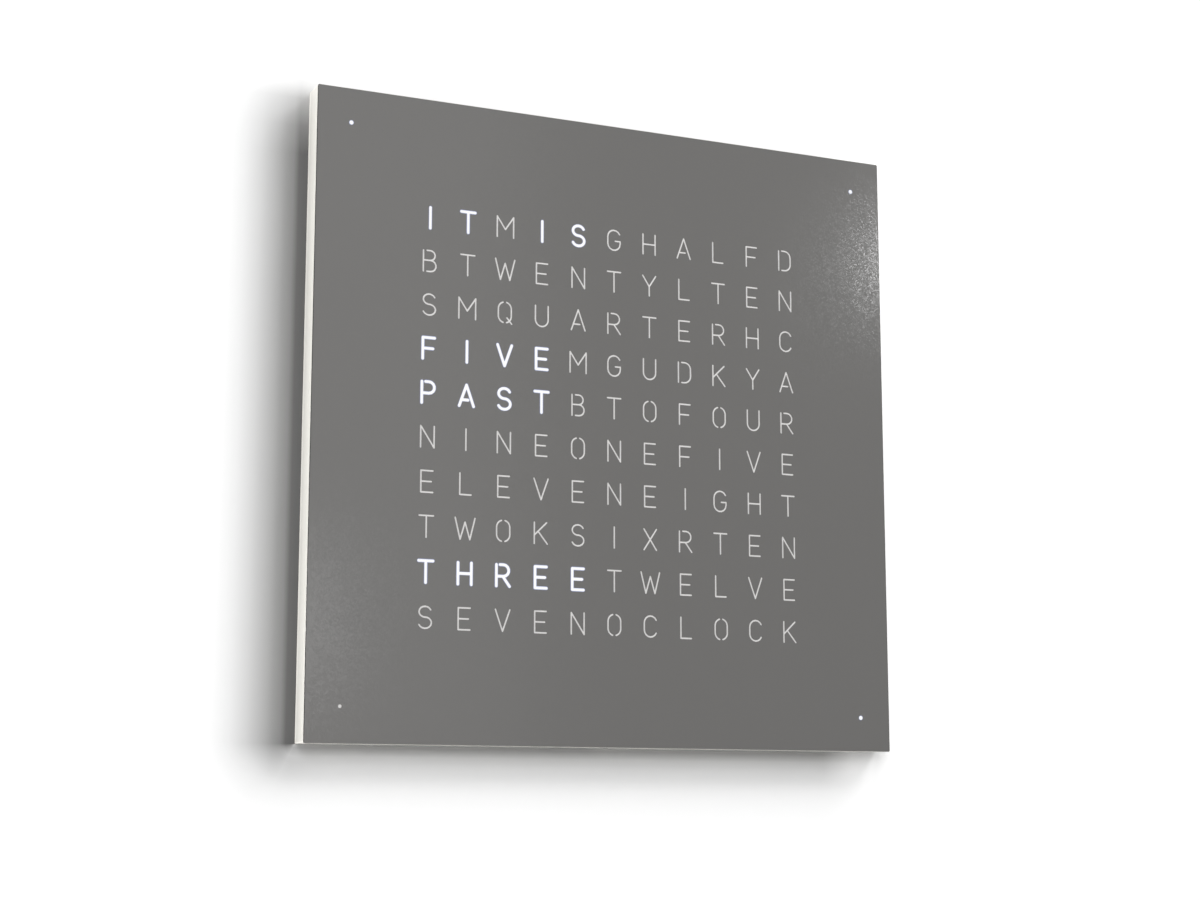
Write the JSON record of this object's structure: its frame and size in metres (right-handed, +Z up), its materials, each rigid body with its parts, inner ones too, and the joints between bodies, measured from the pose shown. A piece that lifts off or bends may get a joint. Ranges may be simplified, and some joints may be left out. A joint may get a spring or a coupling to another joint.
{
  "type": "word clock",
  "caption": "Square wall clock with a lacquered wooden case and a magnetic steel cover; the time shows in words lit from a grid of light wells behind it.",
  "frame": {"origin": "centre of the back panel's rear face, where the clock meets the wall", "axes": "+X to the right seen from the front, +Y into the wall, +Z up"},
  "size_m": [0.45, 0.02, 0.45],
  "materials": {
    "grey_powder_coat": "fine textured grey powder coat",
    "opal_film": "opal diffusing film",
    "bright_steel": "turned steel",
    "cream_lacquer": "satin cream lacquer on wood fibre board",
    "hardboard": "brown hardboard",
    "zinc_steel": "zinc plated steel",
    "bare_wood": "planed pine",
    "nickel": "bright nickel plate",
    "brass": "turned brass",
    "white_plastic": "moulded white plastic",
    "white_board": "white solder mask",
    "led_package": "white light package with yellow phosphor",
    "black_plastic": "moulded black plastic",
    "grey_cable": "grey insulated flat cable",
    "green_board": "green solder mask",
    "capacitor_sleeve": "dark sleeved can",
    "red_wire": "insulated wire",
    "button_plastic": "cream moulded plastic"
  },
  "bodies": {
    "case": {"frame_top_side": "cream_lacquer", "frame_bottom_side": "cream_lacquer", "frame_left_side": "cream_lacquer", "frame_right_side": "cream_lacquer", "back_panel": "hardboard", "back_panel_screws": "zinc_steel", "hanger_rail": "bare_wood", "hanger_plates": "zinc_steel", "hanger_screws": "zinc_steel", "cover_magnets": "nickel", "pin_bushes": "brass", "light_grid": "white_plastic", "grid_screws": "zinc_steel", "led_board": "white_board", "led_chips": "led_package", "light_sensor": "black_plastic", "corner_light_tubes": "white_plastic", "corner_led_boards": "white_board", "corner_led_chips": "led_package", "corner_leads": "grey_cable", "controller_board": "green_board", "board_standoffs": "white_plastic", "board_screws": "zinc_steel", "microcontroller": "black_plastic", "driver_chips": "black_plastic", "capacitors": "capacitor_sleeve", "coin_cell_holder": "black_plastic", "coin_cell": "nickel", "board_headers": "white_plastic", "ribbon_cable": "grey_cable", "cable_tray": "black_plastic", "power_socket": "black_plastic", "socket_pin": "brass", "socket_nut": "nickel", "power_lead": "red_wire", "button_switches": "black_plastic"},
    "cover": {"front_cover": "grey_powder_coat", "diffuser_sheet": "opal_film", "cover_pins": "bright_steel"},
    "hours_push": {"hours_button": "button_plastic", "hours_switch_stem": "white_plastic"},
    "minutes_push": {"minutes_button": "button_plastic", "minutes_switch_stem": "white_plastic"},
    "brightness_push": {"brightness_button": "button_plastic", "brightness_switch_stem": "white_plastic"},
    "mode_push": {"mode_button": "button_plastic", "mode_switch_stem": "white_plastic"}
  },
  "joints": [
    {"name": "cover_pull", "type": "slide", "parent": "case", "child": "cover", "axis": [0, -1, 0], "range_m": [0, 0.06]},
    {"name": "hours_press", "type": "slide", "parent": "case", "child": "hours_push", "axis": [-1, 0, 0], "range_m": [0, 0.0008], "stiffness_N_per_m": 2500},
    {"name": "minutes_press", "type": "slide", "parent": "case", "child": "minutes_push", "axis": [-1, 0, 0], "range_m": [0, 0.0008], "stiffness_N_per_m": 2500},
    {"name": "brightness_press", "type": "slide", "parent": "case", "child": "brightness_push", "axis": [-1, 0, 0], "range_m": [0, 0.0008], "stiffness_N_per_m": 2500},
    {"name": "mode_press", "type": "slide", "parent": "case", "child": "mode_push", "axis": [-1, 0, 0], "range_m": [0, 0.0008], "stiffness_N_per_m": 2500}
  ]
}
